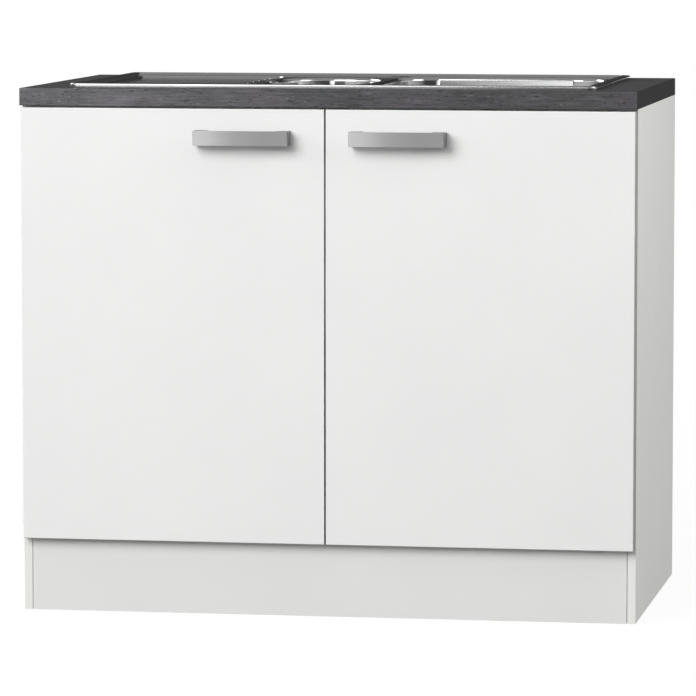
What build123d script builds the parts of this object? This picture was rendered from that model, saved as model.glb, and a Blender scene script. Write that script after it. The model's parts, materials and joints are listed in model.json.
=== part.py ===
from build123d import *

import os
from math import cos, radians, sin, tan

# Kitchen sink unit with two doors. Millimetres, +Z up, the doors face -Y.
# The origin lies on the floor at the middle of the whole footprint, handles included.

# ---- carcass ----
unit_width = 1000.0
unit_height = 850.0
worktop_depth = 600.0
worktop_thickness = 28.0
board = 13.0
plinth_height = 117.0
plinth_joint = 0.8
bottom_panel_height = 119.0
front_rail_height = 80.0
rear_rail_height = 100.0
back_panel_thickness = 3.0
back_panel_top = 430.0
back_panel_inset = 13.0
groove_depth = 5.0
groove_clearance = 0.3
wall_screw_spacing = 700.0
wall_screw_hole_diameter = 6.0

# ---- carcass fittings ----
fitting_clearance = 0.15
dowel_diameter = 8.0
dowel_length = 28.0
dowel_in_side = 9.0
cam_diameter = 15.0
cam_depth = 10.0
cam_end_distance = 24.0
cam_cross_width = 1.4
cam_cross_depth = 1.5
cam_bolt_diameter = 6.0
cam_bolt_in_side = 10.0
joint_pitch = 32.0
rail_joint_drop = 24.0
bottom_joint_distance = 70.0
screw_diameter = 3.6
screw_length = 10.0
screw_head_diameter = 7.2
screw_head_height = 2.2
screw_head_taper = 25.0
bracket_leg = 30.0
bracket_width = 18.0
bracket_sheet = 2.0
bracket_end_distance = 90.0
plinth_block_leg = 34.0
plinth_block_height = 40.0
plinth_block_wall = 3.0
plinth_block_low = 40.0

# ---- worktop ----
edge_band = 1.5
cutout_margin = 10.0
cutout_corner = 18.0

# ---- sink ----
sink_width = 860.0
sink_front_margin = 50.0
sink_rear_margin = 50.0
sink_corner = 14.0
sheet = 1.0
weld_depth = 12.0
rim_height = 6.5
rim_width = 14.0
rim_round = 2.0
deck_height = 3.0
main_bowl_width = 350.0
tap_ledge = 72.0
main_bowl_corner = 62.0
main_bowl_depth = 150.0
small_bowl_width = 166.0
small_bowl_length = 300.0
small_bowl_corner = 74.0
small_bowl_depth = 85.0
bowl_margin = 28.0
bowl_gap = 18.0
bowl_taper = 3.0
bowl_floor_radius = 26.0
bowl_lip_radius = 5.0
drainer_margin = 34.0
drainer_recess = 2.5
drainer_corner = 22.0
drainer_spout = 60.0
groove_count = 8
groove_width = 15.0
groove_drop = 2.0
groove_taper = 35.0
tap_hole_diameter = 35.0
tap_hole_edge_distance = 44.0
level_margin = 0.01
seal_inset = 2.0
seal_width = 6.0
clamp_width = 16.0
clamp_sheet = 1.5
clamp_gap = 0.5
clamp_tab = 10.0
clamp_reach = 16.0
clamp_toe = 14.5
clamp_inner_x = 110.0
clamp_outer_x = 340.0
clamp_side_y = 120.0
clamp_screw_diameter = 4.0

# ---- doors ----
door_thickness = 16.0
door_standoff = 2.0
door_side_reveal = 2.4
door_centre_gap = 2.4
door_top_gap = 3.0
door_edge_round = 1.0
bumper_diameter = 8.0
bumper_gap = 0.3
bumper_inset = 9.0

# ---- handles ----
handle_length = 155.0
handle_height = 23.5
handle_projection = 26.0
handle_bar = 4.0
handle_foot = 21.0
handle_inset_left = 54.5
handle_inset_right = 40.5
handle_drop = 34.5
handle_corner = 1.5
handle_hollow_corner = 4.0
handle_screw_spacing = 128.0
handle_screw_diameter = 4.0
handle_screw_bite = 12.0
handle_screw_head = 8.0
handle_screw_sink = 2.6

# ---- concealed hinges ----
hinge_end_distance = 110.0
pivot_inset = 5.2
pivot_depth = 8.0
cup_diameter = 35.0
cup_depth = 11.5
cup_wall = 1.2
cup_edge_distance = 5.0
cup_flange = 1.2
cup_lip = 1.5
cup_screw_spacing = 45.0
cup_screw_offset = 9.5
cup_ear_width = 13.0
arm_pin_inboard = 11.0
arm_pin_back = 13.0
arm_pin_radius = 1.5
arm_eye_radius = 3.4
arm_sheet = 1.2
arm_length = 62.0
arm_height = 11.0
arm_foot_gap = 2.6
arm_mouth = 8.0
link_length = 22.0
link_hook_reach = 15.0
link_hook_rise = 9.0
link_rest_angle = -36.0
link_thickness = 2.5
link_width = 9.6
link_side_gap = 0.5
link_eye_radius = 2.7
pin_clearance = 0.1
plate_front_distance = 37.0
plate_length = 44.0
plate_side_gap = 0.3
plate_wing = 2.0
plate_wing_width = 12.0
plate_wing_reach = 22.0
plate_screw_pitch = 32.0
plate_screw_diameter = 5.0
plate_screw_head = 8.4
arm_screw_pitch = 30.0
arm_screw_length = 7.0

# ---- waste fittings ----
strainer_hole_diameter = 90.0
strainer_flange_diameter = 112.0
strainer_cup_diameter = 80.0
strainer_cup_depth = 30.0
flange_sheet = 1.2
flange_recess = 2.0
flange_recess_margin = 2.0
strainer_drain_circle_radius = 14.0
strainer_drain_diameter = 9.0
strainer_drain_count = 6
basket_clearance = 0.5
basket_lift = 5.0
basket_slope = 5.0
basket_sheet = 1.0
basket_foot = 8.0
basket_knob_diameter = 16.0
basket_knob_height = 5.0
basket_stem = 3.0
basket_outer_circle_radius = 27.0
basket_inner_circle_radius = 18.0
basket_hole_diameter = 4.5
basket_hole_count = 14
seat_clearance = 0.3
small_waste_hole_diameter = 52.0
small_waste_flange_diameter = 70.0
small_waste_bore = 45.0
small_waste_tube = 28.0
plug_overlap = 3.0
plug_depth = 10.0
plug_draft = 1.0
plug_edge = 2.0
plug_crown = 1.0
plug_stem = 4.0
plug_knob_z = 8.0
plug_knob_radius = 7.0
plug_height = 13.0
small_waste_bars = 2
small_bar_width = 3.0
gasket = 3.0
waste_wall = 3.0
body_gap = 1.3
strainer_body_depth = 36.0
strainer_cone = 13.0
small_body_depth = 30.0
small_cone = 12.0
outlet_spigot = 20.0
strainer_screw_diameter = 6.0
strainer_screw_head = 11.0
rib_width = 8.0
pipe_diameter = 40.0
pipe_wall = 2.0
pipe_joint_gap = 0.3
pipe_bend_radius = 42.0
tee_length = 80.0
tee_branch = 44.0
trap_drop = 165.0
trap_bend_radius = 38.0
joint_land = 13.0
outlet_wall_gap = 4.0
slip_nut_diameter = 56.0
slip_nut_length = 22.0
slip_nut_sides = 12
overflow_hole_diameter = 30.0
overflow_plate_diameter = 44.0
overflow_plate_holes = 6
overflow_plate_hole_diameter = 4.8
overflow_plate_circle_radius = 7.4
overflow_drop = 42.0
overflow_body_depth = 28.0
overflow_plate_height = 2.5
overflow_plate_taper = 30.0
overflow_hub_length = 10.0
overflow_pipe_distance = 18.0
overflow_inlet_drop = 16.0
overflow_socket = 28.0
overflow_pipe_diameter = 20.0
overflow_pipe_wall = 1.5
overflow_bend_radius = 42.0

# ---- derived places ----
sides = {"left": -1, "right": 1}
y_front = handle_projection - (worktop_depth + handle_projection) / 2
y_rear = y_front + worktop_depth
y_carcass = y_front + door_thickness + door_standoff
carcass_depth = y_rear - y_carcass
carcass_middle = (y_carcass + y_rear) / 2
carcass_top = unit_height - worktop_thickness
inside_x = unit_width / 2 - board
bottom_top = bottom_panel_height + board
back_panel_y = y_rear - back_panel_inset - back_panel_thickness / 2
door_top = carcass_top - door_top_gap
door_height = door_top - bottom_panel_height
door_outer_x = unit_width / 2 - door_side_reveal
door_inner_x = door_centre_gap / 2
door_width = door_outer_x - door_inner_x
door_back = y_front + door_thickness
sink_front = y_front + sink_front_margin
sink_depth = worktop_depth - sink_front_margin - sink_rear_margin
sink_middle = sink_front + sink_depth / 2
deck = unit_height + deck_height
main_bowl_length = sink_depth - bowl_margin - tap_ledge
bowl_y = sink_front + bowl_margin + main_bowl_length / 2
main_x = sink_width / 2 - bowl_margin - main_bowl_width / 2
small_x = main_x - main_bowl_width / 2 - bowl_gap - small_bowl_width / 2

os.makedirs("parts", exist_ok=True)


def plane_at_y(y):
    """An upright plane across the unit: local x is +X, local y is +Z, its normal points to the front."""
    return Plane.XZ.offset(-y)


def plane_at_x(x):
    """An upright plane along the depth: local x is +Y, local y is +Z, its normal is +X."""
    return Plane.YZ.offset(x)


def screw(seat, diameter, length, head_diameter=screw_head_diameter):
    """A pan-head screw: its head sits on the seat plane and its shank runs against the normal."""
    with BuildSketch(seat) as shank:
        Circle(diameter / 2)
    extrude(shank.sketch, amount=-length)
    with BuildSketch(seat) as head:
        Circle(head_diameter / 2)
    extrude(head.sketch, amount=screw_head_height, taper=screw_head_taper)


def pilot(seat, diameter, depth):
    """A round hole for a screw, bored against the seat plane's normal."""
    with BuildSketch(seat) as hole:
        Circle(diameter / 2 + fitting_clearance)
    extrude(hole.sketch, amount=-depth - fitting_clearance, mode=Mode.SUBTRACT)


def turned(x, y, points):
    """A solid of revolution about the upright axis at x, y, from (radius, height) points."""
    with BuildSketch(Plane(origin=(x, y, 0), x_dir=(1, 0, 0), z_dir=(0, -1, 0))) as section:
        with BuildLine():
            Polyline(*points, close=True)
        make_face()
    revolve(section.sketch, axis=Axis((x, y, 0), (0, 0, 1)))


# ---- where the boards meet the side panels ----
# Each joint is a dowel and a cam fitting: (dowel y, dowel z, cam y, cam z).
rail_dowel_z = carcass_top - rail_joint_drop
rail_cam_z = rail_dowel_z - joint_pitch
bottom_mid_z = bottom_panel_height + board / 2
front_rail_mid_y = y_carcass + board / 2
rear_rail_mid_y = y_rear - board / 2
bottom_front_y = y_carcass + bottom_joint_distance
bottom_rear_y = y_rear - bottom_joint_distance - joint_pitch
bottom_joints = [
    (bottom_front_y, bottom_mid_z, bottom_front_y + joint_pitch, bottom_mid_z),
    (bottom_rear_y, bottom_mid_z, bottom_rear_y + joint_pitch, bottom_mid_z),
]
front_rail_joints = [(front_rail_mid_y, rail_dowel_z, front_rail_mid_y, rail_cam_z)]
rear_rail_joints = [(rear_rail_mid_y, rail_dowel_z, rear_rail_mid_y, rail_cam_z)]
all_joints = bottom_joints + front_rail_joints + rear_rail_joints
dowel_spots = [(row[0], row[1]) for row in all_joints]
cam_spots = [(row[2], row[3]) for row in all_joints]


def cam_face(joints, x, y, z):
    """The board face that a cam is let into, its normal leaving the board."""
    if joints is bottom_joints:
        return Plane(origin=(x, y, bottom_panel_height), x_dir=(1, 0, 0), z_dir=(0, 0, -1))
    if joints is front_rail_joints:
        return Plane(origin=(x, y_carcass + board, z), x_dir=(1, 0, 0), z_dir=(0, 1, 0))
    return Plane(origin=(x, y_rear - board, z), x_dir=(1, 0, 0), z_dir=(0, -1, 0))


def bore_board_ends(joints):
    """Dowel holes, cam bolt holes and cam pockets at both ends of a board."""
    for side in sides.values():
        for dowel_y, dowel_z, cam_y, cam_z in joints:
            with BuildSketch(plane_at_x(side * inside_x)) as dowel_hole:
                with Locations((dowel_y, dowel_z)):
                    Circle(dowel_diameter / 2 + fitting_clearance)
            in_board = dowel_length - dowel_in_side + groove_clearance
            extrude(dowel_hole.sketch, amount=-side * in_board, mode=Mode.SUBTRACT)
            with BuildSketch(plane_at_x(side * inside_x)) as bolt_hole:
                with Locations((cam_y, cam_z)):
                    Circle(cam_bolt_diameter / 2 + fitting_clearance)
            extrude(bolt_hole.sketch, amount=-side * cam_end_distance, mode=Mode.SUBTRACT)
            face = cam_face(joints, side * (inside_x - cam_end_distance), cam_y, cam_z)
            pilot(face, cam_diameter, cam_depth)


# ---- screw seats shared by the boards and the fittings on them ----
hinge_heights = (bottom_panel_height + hinge_end_distance, door_top - hinge_end_distance)
plate_y = y_carcass + plate_front_distance
bracket_rows = (y_carcass + bracket_end_distance, y_rear - bracket_end_distance)
bracket_screw_reach = (bracket_leg + bracket_sheet) / 2
plinth_block_middle = plinth_block_low + plinth_block_height / 2
plinth_screw_z = plinth_block_middle + plinth_block_height / 4
plinth_screw_reach = (plinth_block_leg + plinth_block_wall) / 2


def plate_screw_seats(side):
    """Faces of the hinge plates' wings, where the heads of the plate screws sit."""
    seats = []
    for hinge_z in hinge_heights:
        for step in (-0.5, 0.5):
            point = (side * (inside_x - plate_wing), plate_y, hinge_z + step * plate_screw_pitch)
            seats.append(Plane(origin=point, x_dir=(0, 1, 0), z_dir=(-side, 0, 0)))
    return seats


def bracket_side_seats(side):
    """Where the worktop brackets are screwed to their side panel."""
    seats = []
    for y in bracket_rows:
        point = (side * (inside_x - bracket_sheet), y, carcass_top - bracket_screw_reach)
        seats.append(Plane(origin=point, x_dir=(0, 1, 0), z_dir=(-side, 0, 0)))
    return seats


def bracket_top_seats(side):
    """Where the worktop brackets are screwed up into the worktop."""
    seats = []
    for y in bracket_rows:
        point = (side * (inside_x - bracket_screw_reach), y, carcass_top - bracket_sheet)
        seats.append(Plane(origin=point, x_dir=(1, 0, 0), z_dir=(0, 0, -1)))
    return seats


def plinth_side_seat(side):
    """Where a plinth block is screwed to its side panel."""
    x = side * (inside_x - plinth_block_wall)
    y = y_carcass + board + plinth_screw_reach
    return Plane(origin=(x, y, plinth_screw_z), x_dir=(0, 1, 0), z_dir=(-side, 0, 0))


def plinth_front_seat(side):
    """Where a plinth block is screwed to the plinth board."""
    x = side * (inside_x - plinth_screw_reach)
    y = y_carcass + board + plinth_block_wall
    return Plane(origin=(x, y, plinth_screw_z), x_dir=(1, 0, 0), z_dir=(0, 1, 0))


# ---- side panels ----
for side_name, side in sides.items():
    with BuildPart() as side_panel:
        with BuildSketch(plane_at_x(side * inside_x)):
            with Locations((carcass_middle, carcass_top / 2)):
                Rectangle(carcass_depth, carcass_top)
        extrude(amount=side * board)
        # The groove that holds the back panel.
        groove_foot = bottom_top - groove_depth
        groove_height = back_panel_top + groove_clearance - groove_foot
        with BuildSketch(plane_at_x(side * inside_x)):
            with Locations((back_panel_y, groove_foot + groove_height / 2)):
                Rectangle(back_panel_thickness + 2 * groove_clearance, groove_height)
        extrude(amount=side * groove_depth, mode=Mode.SUBTRACT)
        # Blind holes for the dowels and the cam bolts.
        with BuildSketch(plane_at_x(side * inside_x)):
            with Locations(*dowel_spots):
                Circle(dowel_diameter / 2 + fitting_clearance)
        extrude(amount=side * (dowel_in_side + groove_clearance), mode=Mode.SUBTRACT)
        with BuildSketch(plane_at_x(side * inside_x)):
            with Locations(*cam_spots):
                Circle(cam_bolt_diameter / 2 + fitting_clearance)
        extrude(amount=side * (cam_bolt_in_side + groove_clearance), mode=Mode.SUBTRACT)
        # Screw holes of the hinge plates, the worktop brackets and the plinth block.
        for seat in plate_screw_seats(side):
            pilot(seat, plate_screw_diameter, screw_length)
        for seat in bracket_side_seats(side) + [plinth_side_seat(side)]:
            pilot(seat, screw_diameter, screw_length)
    side_panel.part.label = f"side_panel_{side_name}"
    export_step(side_panel.part, f"parts/side_panel_{side_name}.step")

# ---- bottom panel ----
with BuildPart() as bottom_panel:
    with BuildSketch(Plane.XY.offset(bottom_panel_height)):
        with Locations((0, carcass_middle)):
            Rectangle(2 * inside_x, carcass_depth)
    extrude(amount=board)
    with BuildSketch(Plane.XY.offset(bottom_top)):
        with Locations((0, back_panel_y)):
            Rectangle(2 * inside_x, back_panel_thickness + 2 * groove_clearance)
    extrude(amount=-groove_depth, mode=Mode.SUBTRACT)
    bore_board_ends(bottom_joints)
bottom_panel.part.label = "bottom_panel"
export_step(bottom_panel.part, "parts/bottom_panel.step")

# ---- front rail ----
with BuildPart() as front_rail:
    with BuildSketch(plane_at_y(y_carcass + board)):
        with Locations((0, carcass_top - front_rail_height / 2)):
            Rectangle(2 * inside_x, front_rail_height)
    extrude(amount=board)
    bore_board_ends(front_rail_joints)
front_rail.part.label = "front_rail"
export_step(front_rail.part, "parts/front_rail.step")

# ---- rear rail, with the two holes for the wall screws ----
with BuildPart() as rear_rail:
    with BuildSketch(plane_at_y(y_rear)):
        with Locations((0, carcass_top - rear_rail_height / 2)):
            Rectangle(2 * inside_x, rear_rail_height)
            with GridLocations(wall_screw_spacing, 0, 2, 1):
                Circle(wall_screw_hole_diameter / 2, mode=Mode.SUBTRACT)
    extrude(amount=board)
    bore_board_ends(rear_rail_joints)
rear_rail.part.label = "rear_rail"
export_step(rear_rail.part, "parts/rear_rail.step")

# ---- half-height back panel, in its grooves ----
with BuildPart() as back_panel:
    back_foot = bottom_top - groove_depth + groove_clearance
    back_reach = inside_x + groove_depth - groove_clearance
    with BuildSketch(plane_at_y(back_panel_y + back_panel_thickness / 2)):
        # The lower corners are cut back where the bottom panel's ends close its groove.
        with Locations((0, (bottom_top + back_panel_top) / 2)):
            Rectangle(2 * back_reach, back_panel_top - bottom_top)
        with Locations((0, (back_foot + back_panel_top) / 2)):
            Rectangle(2 * (inside_x - groove_clearance), back_panel_top - back_foot)
    extrude(amount=back_panel_thickness)
back_panel.part.label = "back_panel"
export_step(back_panel.part, "parts/back_panel.step")

# ---- plinth board and the blocks behind it ----
with BuildPart() as plinth_board:
    with BuildSketch(plane_at_y(y_carcass + board)):
        with Locations((0, plinth_height / 2)):
            Rectangle(2 * (inside_x - plinth_joint), plinth_height)
    extrude(amount=board)
    end_edges = plinth_board.faces().sort_by(Axis.Y)[0].edges().filter_by(Axis.Z)
    fillet(end_edges, radius=door_edge_round)
    for side in sides.values():
        pilot(plinth_front_seat(side), screw_diameter, screw_length)
plinth_board.part.label = "plinth_board"
export_step(plinth_board.part, "parts/plinth_board.step")

with BuildPart() as plinth_blocks:
    for side in sides.values():
        corner_x = side * inside_x
        corner_y = y_carcass + board
        with BuildSketch(Plane.XY.offset(plinth_block_low)):
            with BuildLine():
                Polyline(
                    (corner_x, corner_y),
                    (corner_x - side * plinth_block_leg, corner_y),
                    (corner_x - side * plinth_block_leg, corner_y + plinth_block_wall),
                    (corner_x - side * plinth_block_wall, corner_y + plinth_block_wall),
                    (corner_x - side * plinth_block_wall, corner_y + plinth_block_leg),
                    (corner_x, corner_y + plinth_block_leg),
                    close=True,
                )
            make_face()
        extrude(amount=plinth_block_height)
        # The web that braces the two legs.
        with BuildSketch(Plane.XY.offset(plinth_block_middle - plinth_block_wall)):
            with BuildLine():
                Polyline(
                    (corner_x, corner_y),
                    (corner_x - side * plinth_block_leg, corner_y),
                    (corner_x, corner_y + plinth_block_leg),
                    close=True,
                )
            make_face()
        extrude(amount=plinth_block_wall)
        for seat in (plinth_side_seat(side), plinth_front_seat(side)):
            pilot(seat, screw_diameter, plinth_block_wall)
plinth_blocks.part.label = "plinth_blocks"
export_step(plinth_blocks.part, "parts/plinth_blocks.step")

# ---- dowels, cam bolts and cams ----
with BuildPart() as dowels:
    for side in sides.values():
        with BuildSketch(plane_at_x(side * (inside_x + dowel_in_side))):
            with Locations(*dowel_spots):
                Circle(dowel_diameter / 2)
        extrude(amount=-side * dowel_length)
dowels.part.label = "dowels"
export_step(dowels.part, "parts/dowels.step")

with BuildPart() as cam_bolts:
    for side in sides.values():
        with BuildSketch(plane_at_x(side * (inside_x + cam_bolt_in_side))):
            with Locations(*cam_spots):
                Circle(cam_bolt_diameter / 2)
        extrude(amount=-side * (cam_bolt_in_side + cam_end_distance - fitting_clearance))
cam_bolts.part.label = "cam_bolts"
export_step(cam_bolts.part, "parts/cam_bolts.step")

with BuildPart() as cams:
    for joints in (bottom_joints, front_rail_joints, rear_rail_joints):
        for side in sides.values():
            for _, _, cam_y, cam_z in joints:
                face = cam_face(joints, side * (inside_x - cam_end_distance), cam_y, cam_z)
                with BuildSketch(face):
                    Circle(cam_diameter / 2)
                    Rectangle(cam_diameter / 2, cam_cross_width, mode=Mode.SUBTRACT)
                    Rectangle(cam_cross_width, cam_diameter / 2, mode=Mode.SUBTRACT)
                extrude(amount=-cam_cross_depth)
                with BuildSketch(face.offset(-cam_cross_depth)):
                    Circle(cam_diameter / 2)
                extrude(amount=-cam_depth + cam_cross_depth)
                # The side mouth that takes the bolt's head.
                with BuildSketch(plane_at_x(side * inside_x)):
                    with Locations((cam_y, cam_z)):
                        Circle(cam_bolt_diameter / 2 + fitting_clearance)
                extrude(amount=-side * cam_end_distance, mode=Mode.SUBTRACT)
cams.part.label = "cams"
export_step(cams.part, "parts/cams.step")

# ---- worktop: core, front edge band and end bands ----
with BuildPart() as worktop:
    with BuildSketch(Plane.XY.offset(carcass_top)):
        with Locations((0, (y_front + edge_band + y_rear) / 2)):
            Rectangle(unit_width - 2 * edge_band, worktop_depth - edge_band)
        with Locations((0, sink_middle)):
            RectangleRounded(
                sink_width - 2 * cutout_margin,
                sink_depth - 2 * cutout_margin,
                cutout_corner,
                mode=Mode.SUBTRACT,
            )
    extrude(amount=worktop_thickness)
    for side in sides.values():
        for seat in bracket_top_seats(side):
            pilot(seat, screw_diameter, screw_length)
worktop.part.label = "worktop"
export_step(worktop.part, "parts/worktop.step")

with BuildPart() as worktop_front_edge:
    with BuildSketch(Plane.XY.offset(carcass_top)):
        with Locations((0, y_front + edge_band / 2)):
            Rectangle(unit_width, edge_band)
    extrude(amount=worktop_thickness)
    long_edges = worktop_front_edge.faces().sort_by(Axis.Y)[0].edges().filter_by(Axis.X)
    fillet(long_edges, radius=edge_band / 2)
worktop_front_edge.part.label = "worktop_front_edge"
export_step(worktop_front_edge.part, "parts/worktop_front_edge.step")

with BuildPart() as worktop_end_edges:
    with BuildSketch(Plane.XY.offset(carcass_top)):
        with Locations((0, (y_front + edge_band + y_rear) / 2)):
            with GridLocations(unit_width - edge_band, 0, 2, 1):
                Rectangle(edge_band, worktop_depth - edge_band)
    extrude(amount=worktop_thickness)
worktop_end_edges.part.label = "worktop_end_edges"
export_step(worktop_end_edges.part, "parts/worktop_end_edges.step")

# ---- worktop brackets and the screws of brackets and plinth blocks ----
with BuildPart() as worktop_brackets:
    for side in sides.values():
        for y in bracket_rows:
            with BuildSketch(plane_at_y(y)):
                with BuildLine():
                    Polyline(
                        (side * inside_x, carcass_top),
                        (side * (inside_x - bracket_leg), carcass_top),
                        (side * (inside_x - bracket_leg), carcass_top - bracket_sheet),
                        (side * (inside_x - bracket_sheet), carcass_top - bracket_sheet),
                        (side * (inside_x - bracket_sheet), carcass_top - bracket_leg),
                        (side * inside_x, carcass_top - bracket_leg),
                        close=True,
                    )
                make_face()
            extrude(amount=bracket_width / 2, both=True)
        for seat in bracket_side_seats(side) + bracket_top_seats(side):
            pilot(seat, screw_diameter, bracket_sheet)
worktop_brackets.part.label = "worktop_brackets"
export_step(worktop_brackets.part, "parts/worktop_brackets.step")

with BuildPart() as carcass_screws:
    for side in sides.values():
        for seat in bracket_side_seats(side) + bracket_top_seats(side):
            screw(seat, screw_diameter, screw_length)
        for seat in (plinth_side_seat(side), plinth_front_seat(side)):
            screw(seat, screw_diameter, screw_length)
carcass_screws.part.label = "carcass_screws"
export_step(carcass_screws.part, "parts/carcass_screws.step")

# ---- sink: a pressed deck with a drainer, and two deep-drawn bowls welded under it ----
# Each pressing is a form; the sheet is the grown form less the form itself.
main_floor = deck - main_bowl_depth
small_floor = deck - small_bowl_depth
flange_seat_radius = strainer_flange_diameter / 2 + flange_recess_margin
small_seat_radius = small_waste_flange_diameter / 2 + flange_recess_margin
drainer_left = -sink_width / 2 + drainer_margin
drainer_right = small_x - small_bowl_width / 2 - bowl_gap
drainer_x = (drainer_left + drainer_right) / 2
drainer_width = drainer_right - drainer_left
drainer_floor = deck - drainer_recess


def bowl_form(x, width, length, corner, depth, seat_radius, grow):
    """The space inside a bowl, with the seat of its waste flange, grown on all walls by grow."""
    with BuildPart() as form:
        with BuildSketch(Plane.XY.offset(deck)):
            with Locations((x, bowl_y)):
                RectangleRounded(width + 2 * grow, length + 2 * grow, corner + grow)
        extrude(amount=-depth - grow, taper=bowl_taper)
        fillet(form.edges().group_by(Axis.Z)[0], radius=bowl_floor_radius + grow)
        with BuildSketch(Plane.XY.offset(deck - depth)):
            with Locations((x, bowl_y)):
                Circle(seat_radius + grow)
        extrude(amount=-flange_recess - grow)
    return form.part


def drainer_form(grow):
    """The shallow recess of the drainer with its draining grooves and the spout to the small bowl."""
    with BuildPart() as form:
        with BuildSketch(Plane.XY.offset(deck)):
            with Locations((drainer_x, bowl_y)):
                RectangleRounded(
                    drainer_width + 2 * grow, main_bowl_length + 2 * grow, drainer_corner + grow
                )
        extrude(amount=-drainer_recess - grow, taper=groove_taper)
        with BuildSketch(Plane.XY.offset(drainer_floor)):
            with Locations((drainer_x, bowl_y)):
                with GridLocations(0, main_bowl_length / groove_count, 1, groove_count):
                    SlotOverall(drainer_width - 2 * drainer_corner + 2 * grow, groove_width + 2 * grow)
        extrude(amount=-groove_drop - grow, taper=groove_taper)
        spout_end = small_x - small_bowl_width / 2 + bowl_lip_radius
        with BuildSketch(Plane.XY.offset(deck)):
            with Locations(((drainer_right + spout_end) / 2 - bowl_gap / 2, bowl_y)):
                Rectangle(spout_end - drainer_right + bowl_gap, drainer_spout + 2 * grow)
        extrude(amount=-drainer_recess - grow)
    return form.part


def lip_edges(part, height):
    """The edges at one height that run round the mouths of the two bowls."""
    level = part.edges().filter_by_position(Axis.Z, height - level_margin, height + level_margin)
    across = level.filter_by_position(Axis.X, drainer_right, sink_width / 2 - rim_width - sheet)
    reach = main_bowl_length / 2 + bowl_lip_radius
    return across.filter_by_position(Axis.Y, bowl_y - reach, bowl_y + reach)


main_outline = (main_x, main_bowl_width, main_bowl_length, main_bowl_corner)
small_outline = (small_x, small_bowl_width, small_bowl_length, small_bowl_corner)
main_form = (*main_outline, main_bowl_depth, flange_seat_radius)
small_form = (*small_outline, small_bowl_depth, small_seat_radius)

# The overflow sits on the rear wall of the main bowl, which leans by the bowl's taper.
overflow_y = bowl_y + main_bowl_length / 2 - overflow_drop * tan(radians(bowl_taper))
overflow_face = Plane(
    origin=(main_x, overflow_y, deck - overflow_drop),
    x_dir=(1, 0, 0),
    z_dir=(0, -cos(radians(bowl_taper)), sin(radians(bowl_taper))),
)
tap_x = small_x + small_bowl_width / 2 + bowl_gap / 2
tap_y = sink_front + sink_depth - tap_hole_edge_distance

with BuildPart() as pressing:
    with BuildSketch(Plane.XY.offset(unit_height)):
        with Locations((0, sink_middle)):
            RectangleRounded(sink_width, sink_depth, sink_corner)
    extrude(amount=rim_height)
    fillet(pressing.faces().sort_by(Axis.Z)[-1].edges(), radius=rim_round)
    # The deck inside the raised rim.
    with BuildSketch(Plane.XY.offset(unit_height + rim_height)):
        with Locations((0, sink_middle)):
            RectangleRounded(
                sink_width - 2 * rim_width, sink_depth - 2 * rim_width, sink_corner / 2
            )
    extrude(amount=deck_height - rim_height, taper=groove_taper, mode=Mode.SUBTRACT)
    # The hollow below the deck and inside the rim bead.
    with BuildSketch(Plane.XY.offset(unit_height)):
        with Locations((0, sink_middle)):
            RectangleRounded(sink_width - 2 * sheet, sink_depth - 2 * sheet, sink_corner - sheet)
    extrude(amount=deck_height - sheet, mode=Mode.SUBTRACT)
    with BuildSketch(Plane.XY.offset(unit_height)):
        with Locations((0, sink_middle)):
            RectangleRounded(sink_width - 2 * sheet, sink_depth - 2 * sheet, sink_corner - sheet)
            RectangleRounded(
                sink_width - 2 * rim_width + 2 * sheet,
                sink_depth - 2 * rim_width + 2 * sheet,
                sink_corner / 2 + sheet,
                mode=Mode.SUBTRACT,
            )
    extrude(amount=rim_height - sheet, mode=Mode.SUBTRACT)
    add(bowl_form(*main_form, grow=sheet))
    add(bowl_form(*small_form, grow=sheet))
    fillet(lip_edges(pressing, deck - sheet), radius=bowl_lip_radius - sheet)
    add(bowl_form(*main_form, grow=0), mode=Mode.SUBTRACT)
    add(bowl_form(*small_form, grow=0), mode=Mode.SUBTRACT)
    fillet(lip_edges(pressing, deck), radius=bowl_lip_radius)
    add(drainer_form(grow=sheet))
    add(bowl_form(*small_form, grow=0), mode=Mode.SUBTRACT)
    add(drainer_form(grow=0), mode=Mode.SUBTRACT)
    # Holes for the two wastes, the overflow and the tap.
    with BuildSketch(Plane.XY.offset(main_floor)):
        with Locations((main_x, bowl_y)):
            Circle(strainer_hole_diameter / 2)
    extrude(amount=-flange_recess - 2 * sheet, mode=Mode.SUBTRACT)
    with BuildSketch(Plane.XY.offset(small_floor)):
        with Locations((small_x, bowl_y)):
            Circle(small_waste_hole_diameter / 2)
    extrude(amount=-flange_recess - 2 * sheet, mode=Mode.SUBTRACT)
    with BuildSketch(overflow_face):
        Circle(overflow_hole_diameter / 2)
    extrude(amount=3 * sheet, both=True, mode=Mode.SUBTRACT)
    with BuildSketch(Plane.XY.offset(deck)):
        with Locations((tap_x, tap_y)):
            Circle(tap_hole_diameter / 2)
    extrude(amount=-2 * sheet, mode=Mode.SUBTRACT)

# The weld runs round each bowl below its lip; the deck is above it and the bowls below.
weld_plane = Plane.XY.offset(deck - weld_depth)

with BuildPart() as sink:
    add(pressing.part)
    split(bisect_by=weld_plane, keep=Keep.TOP)
sink.part.label = "sink"
export_step(sink.part, "parts/sink.step")

with BuildPart() as bowls:
    add(pressing.part)
    split(bisect_by=weld_plane, keep=Keep.BOTTOM)

with BuildPart() as small_bowl:
    add(bowls.solids().sort_by(Axis.X)[0])
small_bowl.part.label = "small_bowl"
export_step(small_bowl.part, "parts/small_bowl.step")

with BuildPart() as main_bowl:
    add(bowls.solids().sort_by(Axis.X)[-1])
main_bowl.part.label = "main_bowl"
export_step(main_bowl.part, "parts/main_bowl.step")

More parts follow.
